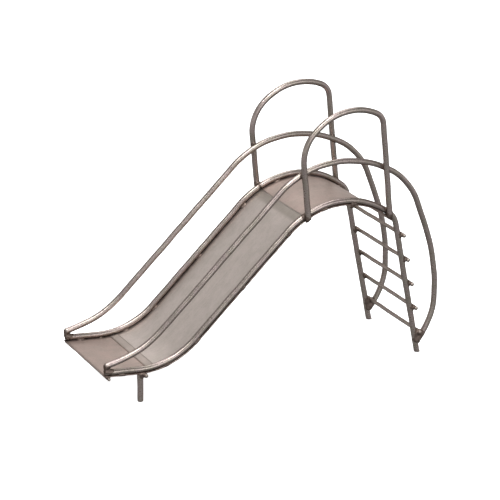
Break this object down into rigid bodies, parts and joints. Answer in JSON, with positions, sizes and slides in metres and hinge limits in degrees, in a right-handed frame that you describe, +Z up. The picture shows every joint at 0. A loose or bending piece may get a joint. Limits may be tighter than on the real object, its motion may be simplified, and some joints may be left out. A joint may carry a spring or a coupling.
{
  "type": "miniature straight slide",
  "caption": "Miniature straight playground slide: bent wire frame with handrails, two hoops at the platform, a runged ladder and a sheet metal bed with a flat run-out, brazed into one piece.",
  "frame": {"origin": "middle of the overall box, on the ground plane the four feet stand on", "axes": "+X from the run-out towards the ladder, +Y across the bed, away from the side seen nearest in the picture, +Z up"},
  "size_m": [0.148, 0.0492, 0.1093],
  "materials": {
    "frame_wire": "satin, browned, mottled",
    "thin_wire": "satin, browned, slightly lighter",
    "bed_pale": "satin, pale warm grey",
    "bed_brown": "satin, heat-browned grey",
    "braze": "dull, dark, lumpy"
  },
  "bodies": {
    "root": {"run_out_sheet": "bed_brown", "platform_sheet": "bed_brown", "slope_sheet": "bed_pale", "seam_strip": "bed_pale", "end_wire": "thin_wire", "front_cross_bar": "thin_wire", "rung_1": "thin_wire", "rung_2": "thin_wire", "rung_3": "thin_wire", "rung_4": "thin_wire", "rung_5": "thin_wire", "front_leg_left": "frame_wire", "front_leg_right": "frame_wire", "lower_rail_left": "frame_wire", "lower_rail_right": "frame_wire", "upper_rail_left": "frame_wire", "upper_rail_right": "frame_wire", "handrail_left": "frame_wire", "handrail_right": "frame_wire", "hoop_left": "frame_wire", "hoop_right": "frame_wire", "braze_rungs": "braze", "braze_hoop_front_feet": "braze", "braze_hoop_rear_feet": "braze", "braze_hoop_crossings": "braze", "braze_handrail_ends": "braze", "braze_handrail_tips": "braze", "braze_front_legs": "braze", "braze_end_wire": "braze", "braze_bed": "braze"}
  },
  "joints": []
}
